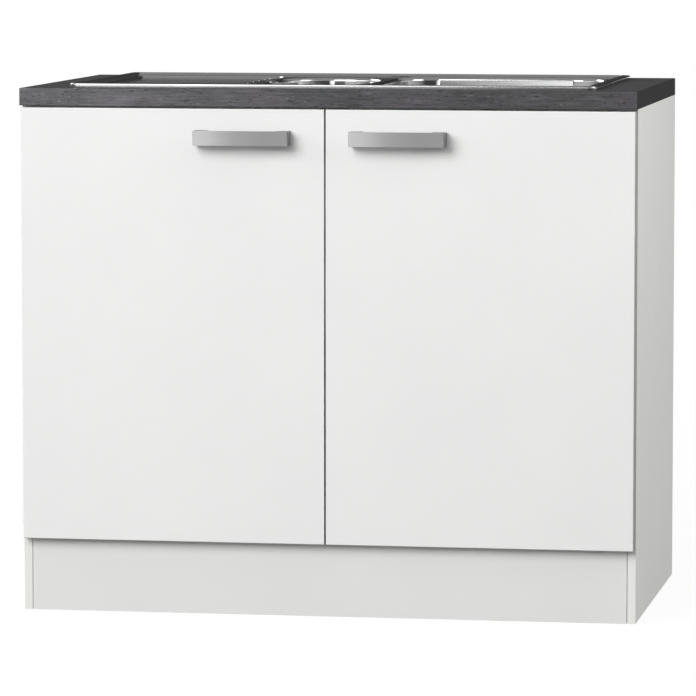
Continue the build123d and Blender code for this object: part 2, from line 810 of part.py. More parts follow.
# ---- sink seal and clamps ----
with BuildPart() as sink_seal:
    with BuildSketch(Plane.XY.offset(unit_height)):
        with Locations((0, sink_middle)):
            RectangleRounded(
                sink_width - 2 * seal_inset, sink_depth - 2 * seal_inset, sink_corner - seal_inset
            )
            RectangleRounded(
                sink_width - 2 * seal_inset - 2 * seal_width,
                sink_depth - 2 * seal_inset - 2 * seal_width,
                sink_corner - seal_inset - seal_width,
                mode=Mode.SUBTRACT,
            )
    extrude(amount=rim_height - sheet)
sink_seal.part.label = "sink_seal"
export_step(sink_seal.part, "parts/sink_seal.step")

# Upright planes at the sink's outline: local x points inwards, local y is +Z.
clamp_planes = []
for x in (-clamp_outer_x, -clamp_inner_x, clamp_inner_x, clamp_outer_x):
    clamp_planes.append(Plane(origin=(x, sink_front, 0), x_dir=(0, 1, 0), z_dir=(1, 0, 0)))
    rear_edge = (x, sink_front + sink_depth, 0)
    clamp_planes.append(Plane(origin=rear_edge, x_dir=(0, -1, 0), z_dir=(-1, 0, 0)))
for y in (sink_middle - clamp_side_y, sink_middle + clamp_side_y):
    clamp_planes.append(Plane(origin=(-sink_width / 2, y, 0), x_dir=(1, 0, 0), z_dir=(0, -1, 0)))
    clamp_planes.append(Plane(origin=(sink_width / 2, y, 0), x_dir=(-1, 0, 0), z_dir=(0, 1, 0)))
clamp_screw_seats = []
for plane in clamp_planes:
    point = plane.origin + plane.x_dir * clamp_reach
    seat_point = (point.X, point.Y, carcass_top - clamp_sheet)
    clamp_screw_seats.append(Plane(origin=seat_point, x_dir=(1, 0, 0), z_dir=(0, 0, -1)))
clamp_height = deck - sheet - carcass_top

with BuildPart() as sink_clamps:
    strap = cutout_margin + clamp_gap
    tab_end = strap + clamp_tab
    tab_z = deck - sheet
    foot_z = carcass_top - clamp_sheet
    for plane in clamp_planes:
        with BuildSketch(plane):
            with BuildLine():
                Polyline(
                    (strap, tab_z),
                    (tab_end, tab_z),
                    (tab_end, tab_z - clamp_sheet),
                    (strap + clamp_sheet, tab_z - clamp_sheet),
                    (strap + clamp_sheet, carcass_top),
                    (tab_end, carcass_top),
                    (tab_end, foot_z),
                    (strap - clamp_toe, foot_z),
                    (strap - clamp_toe, carcass_top),
                    (strap, carcass_top),
                    close=True,
                )
            make_face()
        extrude(amount=clamp_width / 2, both=True)
    for seat in clamp_screw_seats:
        pilot(seat, clamp_screw_diameter, clamp_height + clamp_sheet)
sink_clamps.part.label = "sink_clamps"
export_step(sink_clamps.part, "parts/sink_clamps.step")

with BuildPart() as clamp_screws:
    for seat in clamp_screw_seats:
        screw(seat, clamp_screw_diameter, clamp_height + clamp_sheet - seat_clearance)
clamp_screws.part.label = "clamp_screws"
export_step(clamp_screws.part, "parts/clamp_screws.step")

# ---- doors, handles and concealed hinges ----
handle_z = door_top - handle_drop - handle_height / 2
handle_insets = {-1: handle_inset_left, 1: handle_inset_right}
cup_x = door_outer_x - cup_edge_distance - cup_diameter / 2
cup_screw_x = cup_x - cup_screw_offset
panel_u = door_outer_x - pivot_inset - inside_x
arm_low = panel_u + arm_foot_gap
arm_top = panel_u + arm_height
arm_under = arm_top - arm_sheet
arm_back = arm_pin_back + arm_length
arm_inner = link_width / 2 + link_side_gap
arm_outer = arm_inner + arm_sheet
web_front = arm_pin_back + arm_mouth
plate_half_width = arm_inner - plate_side_gap
plate_middle = y_carcass + plate_front_distance - y_front - pivot_depth
arm_pin = (arm_pin_inboard, arm_pin_back)


def hinge_plane(side, z):
    """A level plane with its origin on the door's axis: local x runs inboard, local y to the back."""
    origin = (side * (door_outer_x - pivot_inset), y_front + pivot_depth, z)
    return Plane(origin=origin, x_dir=(-side, 0, 0), z_dir=(0, 0, -side))


def cup_screw_seats(side):
    """Where the screws of the hinge cups sit on the cup flanges."""
    seats = []
    for hinge_z in hinge_heights:
        for step in (-0.5, 0.5):
            point = (side * cup_screw_x, door_back + cup_flange, hinge_z + step * cup_screw_spacing)
            seats.append(Plane(origin=point, x_dir=(1, 0, 0), z_dir=(0, 1, 0)))
    return seats


def arm_screw_seats(side):
    """Where the screws that hold an arm on its plate sit, two on the web of each arm."""
    seats = []
    for hinge_z in hinge_heights:
        for step in (-0.5, 0.5):
            place = hinge_plane(side, hinge_z)
            point = place.from_local_coords((arm_top, plate_middle + step * arm_screw_pitch, 0))
            seats.append(Plane(origin=point, x_dir=(0, 0, 1), z_dir=(-side, 0, 0)))
    return seats


def handle_x(side):
    """The middle of a handle, set out from its door's inner edge."""
    return side * (door_inner_x + handle_insets[side] + handle_length / 2)


def handle_screw_seats(side):
    """Where the handle screws' heads sit, sunk into the back of the door."""
    seats = []
    for step in (-0.5, 0.5):
        x = handle_x(side) + step * handle_screw_spacing
        point = (x, door_back - handle_screw_sink, handle_z)
        seats.append(Plane(origin=point, x_dir=(1, 0, 0), z_dir=(0, 1, 0)))
    return seats


def link_point(u, v):
    """A point of the link's own outline, turned to the rest angle about the arm's pin."""
    turn = radians(link_rest_angle)
    along = arm_pin_inboard + u * cos(turn) - v * sin(turn)
    across = arm_pin_back + u * sin(turn) + v * cos(turn)
    return Vector(along, across)


handle_screw_length = door_thickness - handle_screw_sink + handle_screw_bite
link_corners = [link_point(0, 0), link_point(link_hook_reach, link_hook_rise), link_point(link_length, 0)]
bumper_x = door_inner_x + bumper_inset
bumper_heights = (bottom_panel_height + board / 2, door_top - bumper_inset)

for side_name, side in sides.items():
    cup_spots = [(side * cup_x, hinge_z) for hinge_z in hinge_heights]
    ear_spots = [(side * cup_screw_x, hinge_z) for hinge_z in hinge_heights]
    door_middle = (side * (door_inner_x + door_width / 2), bottom_panel_height + door_height / 2)

    with BuildPart() as door:
        with BuildSketch(plane_at_y(door_back)):
            with Locations(door_middle):
                Rectangle(door_width, door_height)
        extrude(amount=door_thickness)
        fillet(door.faces().sort_by(Axis.Y)[0].edges(), radius=door_edge_round)
        with BuildSketch(plane_at_y(door_back)):
            with Locations(*cup_spots):
                Circle(cup_diameter / 2 + fitting_clearance)
        extrude(amount=cup_depth + groove_clearance, mode=Mode.SUBTRACT)
        for seat in cup_screw_seats(side):
            pilot(seat, screw_diameter, screw_length)
        for seat in handle_screw_seats(side):
            pilot(seat, handle_screw_diameter, handle_screw_length)
            with BuildSketch(seat):
                Circle(handle_screw_head / 2 + groove_clearance)
            extrude(amount=handle_screw_sink, mode=Mode.SUBTRACT)
    door.part.label = f"door_{side_name}"
    export_step(door.part, f"parts/door_{side_name}.step")

    with BuildPart() as handle:
        with BuildSketch(Plane.XY.offset(handle_z - handle_height / 2)) as bow:
            with Locations((handle_x(side), y_front - handle_projection / 2)):
                Rectangle(handle_length, handle_projection)
            fillet(bow.vertices().group_by(Axis.Y)[0], radius=handle_corner)
            hollow_depth = handle_projection - handle_bar
            with Locations((handle_x(side), y_front - hollow_depth / 2)):
                Rectangle(handle_length - 2 * handle_foot, hollow_depth, mode=Mode.SUBTRACT)
            hollow_y = y_front - hollow_depth
            hollow_corners = bow.vertices().filter_by_position(
                Axis.Y, hollow_y - level_margin, hollow_y + level_margin
            )
            fillet(hollow_corners, radius=handle_hollow_corner)
        extrude(amount=handle_height)
        for seat in handle_screw_seats(side):
            pilot(seat, handle_screw_diameter, handle_screw_length)
    handle.part.label = f"handle_{side_name}"
    export_step(handle.part, f"parts/handle_{side_name}.step")

    with BuildPart() as handle_screws:
        for seat in handle_screw_seats(side):
            screw(seat, handle_screw_diameter, handle_screw_length, handle_screw_head)
    handle_screws.part.label = f"handle_screws_{side_name}"
    export_step(handle_screws.part, f"parts/handle_screws_{side_name}.step")

    with BuildPart() as door_bumpers:
        with BuildSketch(plane_at_y(door_back)):
            with Locations(*[(side * bumper_x, z) for z in bumper_heights]):
                Circle(bumper_diameter / 2)
        extrude(amount=bumper_gap - door_standoff)
    door_bumpers.part.label = f"door_bumpers_{side_name}"
    export_step(door_bumpers.part, f"parts/door_bumpers_{side_name}.step")

    with BuildPart() as hinge_cups:
        with BuildSketch(plane_at_y(door_back)):
            with Locations(*cup_spots):
                Circle(cup_diameter / 2)
        extrude(amount=cup_depth)
        with BuildSketch(plane_at_y(door_back)):
            with Locations(*cup_spots):
                Circle(cup_diameter / 2 + cup_lip)
            with Locations(*ear_spots):
                SlotOverall(cup_screw_spacing + cup_ear_width, cup_ear_width, rotation=90)
        extrude(amount=-cup_flange)
        with BuildSketch(plane_at_y(door_back + cup_flange)):
            with Locations(*cup_spots):
                Circle(cup_diameter / 2 - cup_wall)
        extrude(amount=cup_flange + cup_depth - cup_wall, mode=Mode.SUBTRACT)
        for seat in cup_screw_seats(side):
            pilot(seat, screw_diameter, cup_flange)
    hinge_cups.part.label = f"hinge_cups_{side_name}"
    export_step(hinge_cups.part, f"parts/hinge_cups_{side_name}.step")

    with BuildPart() as hinge_cup_screws:
        for seat in cup_screw_seats(side):
            screw(seat, screw_diameter, screw_length)
    hinge_cup_screws.part.label = f"hinge_cup_screws_{side_name}"
    export_step(hinge_cup_screws.part, f"parts/hinge_cup_screws_{side_name}.step")

    # The hooked link turns on the arm's pin and reaches down into the cup.
    with BuildPart() as hinge_links:
        for hinge_z in hinge_heights:
            with BuildSketch(hinge_plane(side, hinge_z)):
                with Locations(arm_pin):
                    Circle(link_eye_radius)
                for start, end in zip(link_corners[:-1], link_corners[1:]):
                    SlotCenterPoint((start + end) / 2, end, link_thickness)
                with Locations(arm_pin):
                    Circle(arm_pin_radius + pin_clearance, mode=Mode.SUBTRACT)
            extrude(amount=link_width / 2, both=True)
    hinge_links.part.label = f"hinge_links_{side_name}"
    export_step(hinge_links.part, f"parts/hinge_links_{side_name}.step")

    # The arm is a channel over the plate; its two cheeks run forward to hold the pin.
    with BuildPart() as hinge_arms:
        for hinge_z in hinge_heights:
            place = hinge_plane(side, hinge_z)
            with BuildSketch(place):
                with BuildLine():
                    Polyline(
                        (arm_low, arm_back),
                        (arm_top, arm_back),
                        (arm_top, web_front),
                        (arm_pin_inboard + arm_eye_radius, arm_pin_back),
                        (arm_pin_inboard - arm_eye_radius, arm_pin_back),
                        (arm_low, web_front),
                        close=True,
                    )
                make_face()
                with Locations(arm_pin):
                    Circle(arm_eye_radius)
            extrude(amount=arm_outer, both=True)
            with BuildSketch(place):
                with Locations((0, 0)):
                    Rectangle(arm_under, arm_back, align=(Align.MIN, Align.MIN))
                    Rectangle(2 * arm_top, web_front, align=(Align.MIN, Align.MIN))
            extrude(amount=arm_inner, both=True, mode=Mode.SUBTRACT)
            with BuildSketch(place):
                with Locations(arm_pin):
                    Circle(arm_pin_radius)
            extrude(amount=arm_outer, both=True)
        for seat in arm_screw_seats(side):
            pilot(seat, screw_diameter, arm_sheet)
    hinge_arms.part.label = f"hinge_arms_{side_name}"
    export_step(hinge_arms.part, f"parts/hinge_arms_{side_name}.step")

    with BuildPart() as hinge_plates:
        for hinge_z in hinge_heights:
            place = hinge_plane(side, hinge_z)
            with BuildSketch(place):
                with Locations(((panel_u + arm_under) / 2, plate_middle)):
                    Rectangle(arm_under - panel_u, plate_length)
            extrude(amount=plate_half_width, both=True)
            with BuildSketch(place):
                with Locations((panel_u + plate_wing / 2, plate_middle)):
                    Rectangle(plate_wing, plate_wing_width)
            extrude(amount=plate_wing_reach, both=True)
        for seat in plate_screw_seats(side):
            pilot(seat, plate_screw_diameter, plate_wing)
        for seat in arm_screw_seats(side):
            pilot(seat, screw_diameter, arm_screw_length)
    hinge_plates.part.label = f"hinge_plates_{side_name}"
    export_step(hinge_plates.part, f"parts/hinge_plates_{side_name}.step")

    with BuildPart() as hinge_plate_screws:
        for seat in plate_screw_seats(side):
            screw(seat, plate_screw_diameter, screw_length, plate_screw_head)
    hinge_plate_screws.part.label = f"hinge_plate_screws_{side_name}"
    export_step(hinge_plate_screws.part, f"parts/hinge_plate_screws_{side_name}.step")

    with BuildPart() as hinge_arm_screws:
        for seat in arm_screw_seats(side):
            screw(seat, screw_diameter, arm_screw_length)
    hinge_arm_screws.part.label = f"hinge_arm_screws_{side_name}"
    export_step(hinge_arm_screws.part, f"parts/hinge_arm_screws_{side_name}.step")

# ---- main bowl: strainer, its basket and its body ----
flange_z = main_floor - flange_recess
flange_top = flange_z + flange_sheet
cup_inner = strainer_cup_diameter / 2
cup_outer = cup_inner + flange_sheet
cup_floor = flange_top - strainer_cup_depth
gasket_top = flange_z - sheet
body_top = gasket_top - gasket
body_inner = cup_outer + body_gap
body_outer = body_inner + waste_wall
body_foot = body_top - strainer_body_depth
spigot_top = body_foot - strainer_cone
spigot_end = spigot_top - outlet_spigot
pipe_outer = pipe_diameter / 2
pipe_inner = pipe_outer - pipe_wall
strainer_rim = strainer_flange_diameter / 2
strainer_screw_seat = Plane(origin=(main_x, bowl_y, cup_floor))

with BuildPart() as strainer_flange:
    flange_section = [
        (cup_inner, flange_top),
        (strainer_rim - flange_sheet, flange_top),
        (strainer_rim, flange_z),
        (cup_outer, flange_z),
        (cup_outer, cup_floor - flange_sheet),
        (0, cup_floor - flange_sheet),
        (0, cup_floor),
        (cup_inner, cup_floor),
    ]
    turned(main_x, bowl_y, flange_section)
    with BuildSketch(strainer_screw_seat):
        with PolarLocations(strainer_drain_circle_radius, strainer_drain_count):
            Circle(strainer_drain_diameter / 2)
    extrude(amount=-flange_sheet, mode=Mode.SUBTRACT)
    pilot(strainer_screw_seat, strainer_screw_diameter, flange_sheet)
strainer_flange.part.label = "strainer_flange"
export_step(strainer_flange.part, "parts/strainer_flange.step")

with BuildPart() as strainer_basket:
    basket_floor = cup_floor + basket_lift
    basket_top = flange_top - basket_clearance
    basket_outer = cup_inner - basket_clearance
    basket_base = basket_outer - (basket_top - basket_floor) * tan(radians(basket_slope))
    knob = basket_knob_diameter / 2
    knob_z = basket_top - basket_knob_height
    basket_section = [
        (0, basket_floor),
        (basket_foot - basket_sheet, basket_floor),
        (basket_foot - basket_sheet, cup_floor),
        (basket_foot, cup_floor),
        (basket_foot, basket_floor),
        (basket_base, basket_floor),
        (basket_outer, basket_top),
        (basket_outer - basket_sheet, basket_top),
        (basket_base - basket_sheet, basket_floor + basket_sheet),
        (basket_stem, basket_floor + basket_sheet),
        (basket_stem, knob_z),
        (knob, knob_z),
        (knob, basket_top - basket_sheet),
        (knob - basket_sheet, basket_top),
        (0, basket_top),
    ]
    turned(main_x, bowl_y, basket_section)
    with BuildSketch(Plane.XY.offset(basket_floor)):
        with Locations((main_x, bowl_y)):
            with PolarLocations(basket_outer_circle_radius, basket_hole_count):
                Circle(basket_hole_diameter / 2)
            with PolarLocations(basket_inner_circle_radius, basket_hole_count // 2):
                Circle(basket_hole_diameter / 2)
    extrude(amount=basket_sheet, mode=Mode.SUBTRACT)
strainer_basket.part.label = "strainer_basket"
export_step(strainer_basket.part, "parts/strainer_basket.step")

with BuildPart() as strainer_screw:
    screw(strainer_screw_seat, strainer_screw_diameter, screw_length, strainer_screw_head)
strainer_screw.part.label = "strainer_screw"
export_step(strainer_screw.part, "parts/strainer_screw.step")

# The overflow pipe enters the body through a socket at this height.
overflow_inlet_z = body_top - waste_wall - overflow_inlet_drop
socket_inner = overflow_pipe_diameter / 2 + pipe_joint_gap
socket_outer = socket_inner + waste_wall
overflow_bore = overflow_pipe_diameter / 2 - overflow_pipe_wall
inlet_end = bowl_y + body_outer + overflow_socket

with BuildPart() as strainer_body:
    body_section = [
        (body_inner, body_top),
        (strainer_rim - flange_sheet, body_top),
        (strainer_rim - flange_sheet, body_top - waste_wall),
        (body_outer, body_top - waste_wall),
        (body_outer, body_foot),
        (pipe_outer, spigot_top),
        (pipe_outer, spigot_end),
        (pipe_inner, spigot_end),
        (pipe_inner, spigot_top),
        (body_inner, body_foot),
    ]
    turned(main_x, bowl_y, body_section)
    # The cross bar that takes the strainer's screw.
    rib_top = cup_floor - flange_sheet - seat_clearance
    with BuildSketch(Plane.XY.offset(rib_top)):
        with Locations((main_x, bowl_y)):
            Rectangle(2 * body_inner + waste_wall, rib_width)
            Circle(rib_width)
    extrude(amount=-rib_width)
    pilot(strainer_screw_seat, strainer_screw_diameter, strainer_cup_depth)
    # The overflow's socket and its way into the body.
    with BuildSketch(plane_at_y(inlet_end)):
        with Locations((main_x, overflow_inlet_z)):
            Circle(socket_outer)
    extrude(amount=overflow_socket + waste_wall / 2)
    with BuildSketch(plane_at_y(inlet_end)):
        with Locations((main_x, overflow_inlet_z)):
            Circle(socket_inner)
    extrude(amount=overflow_socket - waste_wall, mode=Mode.SUBTRACT)
    with BuildSketch(plane_at_y(inlet_end)):
        with Locations((main_x, overflow_inlet_z)):
            Circle(overflow_bore)
    extrude(amount=overflow_socket + 2 * waste_wall, mode=Mode.SUBTRACT)
strainer_body.part.label = "strainer_body"
export_step(strainer_body.part, "parts/strainer_body.step")

# ---- small bowl: waste, plug and body ----
small_flange_z = small_floor - flange_recess
small_flange_top = small_flange_z + flange_sheet
tube_inner = small_waste_bore / 2
tube_outer = tube_inner + flange_sheet
tube_end = small_flange_top - small_waste_tube
small_gasket_top = small_flange_z - sheet
small_body_top = small_gasket_top - gasket
small_inner = tube_outer + body_gap
small_outer = small_inner + waste_wall
small_body_foot = small_body_top - small_body_depth
small_spigot_top = small_body_foot - small_cone
small_spigot_end = small_spigot_top - outlet_spigot
small_rim = small_waste_flange_diameter / 2

with BuildPart() as small_waste_flange:
    small_section = [
        (tube_inner, small_flange_top),
        (small_rim - flange_sheet, small_flange_top),
        (small_rim, small_flange_z),
        (tube_outer, small_flange_z),
        (tube_outer, tube_end),
        (tube_inner, tube_end),
    ]
    turned(small_x, bowl_y, small_section)
    with BuildSketch(Plane.XY.offset(tube_end)):
        with Locations((small_x, bowl_y)):
            with PolarLocations(0, small_waste_bars, angular_range=180):
                Rectangle(2 * tube_inner + flange_sheet, small_bar_width)
    extrude(amount=small_bar_width)
small_waste_flange.part.label = "small_waste_flange"
export_step(small_waste_flange.part, "parts/small_waste_flange.step")

with BuildPart() as small_waste_plug:
    plug_radius = tube_inner - basket_clearance
    plug_section = [
        (0, small_flange_top - plug_depth),
        (plug_radius - plug_draft, small_flange_top - plug_depth),
        (plug_radius, small_flange_top),
        (tube_inner + plug_overlap, small_flange_top),
        (tube_inner + plug_overlap, small_flange_top + plug_edge),
        (plug_stem, small_flange_top + plug_edge + plug_crown),
        (plug_stem, small_flange_top + plug_knob_z),
        (plug_knob_radius, small_flange_top + plug_knob_z + plug_crown),
        (plug_knob_radius, small_flange_top + plug_height - plug_crown),
        (plug_stem, small_flange_top + plug_height),
        (0, small_flange_top + plug_height),
    ]
    turned(small_x, bowl_y, plug_section)
small_waste_plug.part.label = "small_waste_plug"
export_step(small_waste_plug.part, "parts/small_waste_plug.step")

with BuildPart() as small_waste_body:
    small_body_section = [
        (small_inner, small_body_top),
        (small_rim, small_body_top),
        (small_rim, small_body_top - waste_wall),
        (small_outer, small_body_top - waste_wall),
        (small_outer, small_body_foot),
        (pipe_outer, small_spigot_top),
        (pipe_outer, small_spigot_end),
        (pipe_inner, small_spigot_end),
        (pipe_inner, small_spigot_top),
        (small_inner, small_body_foot),
    ]
    turned(small_x, bowl_y, small_body_section)
small_waste_body.part.label = "small_waste_body"
export_step(small_waste_body.part, "parts/small_waste_body.step")

# ---- overflow: plate, body and pipe ----
overflow_gasket_face = overflow_face.offset(-sheet)
overflow_body_face = overflow_face.offset(-sheet - gasket)
overflow_z = deck - overflow_drop
overflow_plate_radius = overflow_plate_diameter / 2
overflow_pipe_y = overflow_y + overflow_pipe_distance
overflow_socket_end = overflow_z - overflow_plate_radius - overflow_socket / 2

with BuildPart() as overflow_rosette:
    with BuildSketch(overflow_face):
        Circle(overflow_plate_radius)
    extrude(amount=overflow_plate_height, taper=overflow_plate_taper)
    hub = overflow_hole_diameter / 2 - seat_clearance
    with BuildSketch(overflow_face):
        Circle(hub)
    extrude(amount=-overflow_hub_length)
    with BuildSketch(overflow_face):
        Circle(hub - overflow_pipe_wall)
    extrude(amount=-overflow_hub_length, mode=Mode.SUBTRACT)
    with BuildSketch(overflow_face):
        with PolarLocations(overflow_plate_circle_radius, overflow_plate_holes):
            Circle(overflow_plate_hole_diameter / 2)
        Circle(overflow_plate_hole_diameter / 2)
    extrude(amount=overflow_plate_height, mode=Mode.SUBTRACT)
overflow_rosette.part.label = "overflow_rosette"
export_step(overflow_rosette.part, "parts/overflow_rosette.step")

with BuildPart() as overflow_elbow:
    with BuildSketch(overflow_body_face):
        Circle(overflow_plate_radius)
    extrude(amount=-overflow_body_depth)
    with BuildSketch(Plane.XY.offset(overflow_z)):
        with Locations((main_x, overflow_pipe_y)):
            Circle(socket_outer)
    extrude(amount=overflow_socket_end - overflow_z)
    with BuildSketch(overflow_body_face):
        Circle(overflow_plate_radius - waste_wall)
    extrude(amount=waste_wall - overflow_body_depth, mode=Mode.SUBTRACT)
    with BuildSketch(Plane.XY.offset(overflow_socket_end)):
        with Locations((main_x, overflow_pipe_y)):
            Circle(socket_inner)
    extrude(amount=overflow_socket / 2, mode=Mode.SUBTRACT)
    with BuildSketch(Plane.XY.offset(overflow_z)):
        with Locations((main_x, overflow_pipe_y)):
            Circle(overflow_bore)
    extrude(amount=overflow_socket_end - overflow_z, mode=Mode.SUBTRACT)
overflow_elbow.part.label = "overflow_elbow"
export_step(overflow_elbow.part, "parts/overflow_elbow.step")


def bent_pipe(points, outer, wall, bend):
    """A round pipe along a polyline with rounded bends."""
    with BuildLine() as path:
        FilletPolyline(*points, radius=bend)
    with BuildSketch(Plane(path.line ^ 0)) as ring:
        Circle(outer)
        Circle(outer - wall, mode=Mode.SUBTRACT)
    sweep(ring.sketch, path=path.line)


pipe_insert = overflow_socket / 2 - waste_wall
with BuildPart() as overflow_pipe:
    overflow_run = [
        (main_x, overflow_pipe_y, overflow_socket_end + pipe_insert),
        (main_x, overflow_pipe_y, overflow_inlet_z),
        (main_x, inlet_end - pipe_insert, overflow_inlet_z),
    ]
    bent_pipe(overflow_run, overflow_pipe_diameter / 2, overflow_pipe_wall, overflow_bend_radius)
overflow_pipe.part.label = "overflow_pipe"
export_step(overflow_pipe.part, "parts/overflow_pipe.step")

with BuildPart() as waste_gaskets:
    turned(
        main_x,
        bowl_y,
        [
            (strainer_hole_diameter / 2, gasket_top),
            (strainer_rim - flange_sheet, gasket_top),
            (strainer_rim - flange_sheet, body_top),
            (strainer_hole_diameter / 2, body_top),
        ],
    )
    turned(
        small_x,
        bowl_y,
        [
            (small_waste_hole_diameter / 2, small_gasket_top),
            (small_rim, small_gasket_top),
            (small_rim, small_body_top),
            (small_waste_hole_diameter / 2, small_body_top),
        ],
    )
    with BuildSketch(overflow_gasket_face):
        Circle(overflow_plate_radius)
        Circle(overflow_hole_diameter / 2, mode=Mode.SUBTRACT)
    extrude(amount=-gasket)
waste_gaskets.part.label = "waste_gaskets"
export_step(waste_gaskets.part, "parts/waste_gaskets.step")

# ---- pipes from the two wastes to the outlet ----
tee_top = spigot_end - pipe_joint_gap
tee_foot = tee_top - tee_length
tee_z = (tee_top + tee_foot) / 2
branch_end = main_x - tee_branch
trap_top = tee_foot - pipe_joint_gap
trap_foot = trap_top - trap_drop
trap_out_y = bowl_y + 2 * trap_bend_radius
trap_out_top = trap_foot + trap_bend_radius + joint_land
outlet_start = trap_out_top + pipe_joint_gap
outlet_z = outlet_start + joint_land + pipe_bend_radius
outlet_end = y_rear - outlet_wall_gap

with BuildPart() as waste_tee:
    for radius, mode in ((pipe_outer, Mode.ADD), (pipe_inner, Mode.SUBTRACT)):
        with BuildSketch(Plane.XY.offset(tee_top)):
            with Locations((main_x, bowl_y)):
                Circle(radius)
        extrude(amount=-tee_length, mode=mode)
        with BuildSketch(plane_at_x(branch_end)):
            with Locations((bowl_y, tee_z)):
                Circle(radius)
        extrude(amount=tee_branch, mode=mode)
waste_tee.part.label = "waste_tee"
export_step(waste_tee.part, "parts/waste_tee.step")

with BuildPart() as branch_pipe:
    branch_run = [
        (small_x, bowl_y, small_spigot_end - pipe_joint_gap),
        (small_x, bowl_y, tee_z),
        (branch_end - pipe_joint_gap, bowl_y, tee_z),
    ]
    bent_pipe(branch_run, pipe_outer, pipe_wall, pipe_bend_radius)
branch_pipe.part.label = "branch_pipe"
export_step(branch_pipe.part, "parts/branch_pipe.step")

with BuildPart() as trap_bend:
    trap_run = [
        (main_x, bowl_y, trap_top),
        (main_x, bowl_y, trap_foot),
        (main_x, trap_out_y, trap_foot),
        (main_x, trap_out_y, trap_out_top),
    ]
    bent_pipe(trap_run, pipe_outer, pipe_wall, trap_bend_radius - level_margin)
trap_bend.part.label = "trap_bend"
export_step(trap_bend.part, "parts/trap_bend.step")

with BuildPart() as trap_outlet_pipe:
    outlet_run = [
        (main_x, trap_out_y, outlet_start),
        (main_x, trap_out_y, outlet_z),
        (main_x, outlet_end, outlet_z),
    ]
    bent_pipe(outlet_run, pipe_outer, pipe_wall, pipe_bend_radius)
trap_outlet_pipe.part.label = "trap_outlet_pipe"
export_step(trap_outlet_pipe.part, "parts/trap_outlet_pipe.step")

# Ribbed nuts over the five joints of the pipes.
nut_planes = [
    Plane(origin=(main_x, bowl_y, tee_top)),
    Plane(origin=(main_x, bowl_y, tee_foot)),
    Plane(origin=(small_x, bowl_y, small_spigot_end)),
    Plane(origin=(main_x, trap_out_y, trap_out_top)),
    Plane(origin=(branch_end, bowl_y, tee_z), x_dir=(0, 1, 0), z_dir=(1, 0, 0)),
]
with BuildPart() as slip_nuts:
    for plane in nut_planes:
        with BuildSketch(plane):
            RegularPolygon(slip_nut_diameter / 2, slip_nut_sides)
            Circle(pipe_outer + pipe_joint_gap, mode=Mode.SUBTRACT)
        extrude(amount=slip_nut_length / 2, both=True)
slip_nuts.part.label = "slip_nuts"
export_step(slip_nuts.part, "parts/slip_nuts.step")
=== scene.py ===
import json
import math

import bpy
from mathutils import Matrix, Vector


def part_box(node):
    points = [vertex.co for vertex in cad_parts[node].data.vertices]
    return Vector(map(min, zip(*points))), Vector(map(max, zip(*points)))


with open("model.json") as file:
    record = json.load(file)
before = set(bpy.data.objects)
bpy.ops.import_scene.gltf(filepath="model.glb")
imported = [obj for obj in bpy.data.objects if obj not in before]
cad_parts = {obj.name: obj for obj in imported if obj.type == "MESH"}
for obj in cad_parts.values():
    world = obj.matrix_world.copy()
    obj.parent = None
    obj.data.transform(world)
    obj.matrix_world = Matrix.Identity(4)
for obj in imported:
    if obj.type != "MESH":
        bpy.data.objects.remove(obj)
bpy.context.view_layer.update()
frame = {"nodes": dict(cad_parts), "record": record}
nodes = frame["nodes"]
scene = bpy.context.scene
scene.view_settings.view_transform = "Standard"

# ---- camera ----
# It stands to the right of the unit and a little above it, far away behind a long lens.
CAMERA_AT = (1.3172, -7.8374, 1.1576)
CAMERA_YAW = 9.619
CAMERA_PITCH = 5.371
CAMERA_LENS = 248.48
CAMERA_SENSOR = 36.0
camera_data = bpy.data.cameras.new("camera")
camera_data.lens = CAMERA_LENS
camera_data.sensor_width = CAMERA_SENSOR
camera = bpy.data.objects.new("camera", camera_data)
camera.location = CAMERA_AT
camera.rotation_euler = (math.radians(90 - CAMERA_PITCH), 0, math.radians(CAMERA_YAW))
scene.collection.objects.link(camera)
scene.camera = camera


# ---- small helpers for node trees ----
def put(tree, kind, **settings):
    """A new node. Settings that name an input set that input, and the others are properties."""
    made = tree.nodes.new(kind)
    for key, value in settings.items():
        name = key.replace("_", " ").title()
        if name in made.inputs:
            made.inputs[name].default_value = value
        else:
            setattr(made, key, value)
    return made


def part_of(tree, vector, axis):
    """One coordinate of a vector."""
    made = put(tree, "ShaderNodeSeparateXYZ")
    tree.links.new(vector, made.inputs["Vector"])
    return made.outputs[axis]


def stretched(tree, scale):
    """The piece's own coordinates, stretched by scale along X, Y and Z."""
    where = put(tree, "ShaderNodeTexCoord")
    mapping = put(tree, "ShaderNodeMapping")
    mapping.inputs["Scale"].default_value = scale
    tree.links.new(where.outputs["Object"], mapping.inputs["Vector"])
    return mapping.outputs["Vector"]


def noise(tree, scale, detail=3.0, roughness=0.5):
    made = put(tree, "ShaderNodeTexNoise", detail=detail, roughness=roughness)
    made.inputs["Scale"].default_value = 1.0
    tree.links.new(stretched(tree, scale), made.inputs["Vector"])
    return made.outputs["Fac"]


def flakes(tree, size):
    """Cells with random tones of their own. Red and Green give two of them for each cell."""
    made = put(tree, "ShaderNodeTexVoronoi", feature="F1")
    made.inputs["Scale"].default_value = 1.0
    tree.links.new(stretched(tree, (size, size, size)), made.inputs["Vector"])
    tone = put(tree, "ShaderNodeSeparateColor")
    tree.links.new(made.outputs["Color"], tone.inputs["Color"])
    return tone


def ramp(tree, factor, stops):
    """A colour ramp through (position, colour) stops, of which there are at least two."""
    made = put(tree, "ShaderNodeValToRGB")
    band = made.color_ramp
    while len(band.elements) < len(stops):
        band.elements.new(0.5)
    for element, (position, colour) in zip(band.elements, stops):
        element.position = position
        shade = colour if isinstance(colour, tuple) else (colour, colour, colour)
        element.color = (*shade, 1.0)
    tree.links.new(factor, made.inputs["Fac"])
    return made.outputs["Color"]


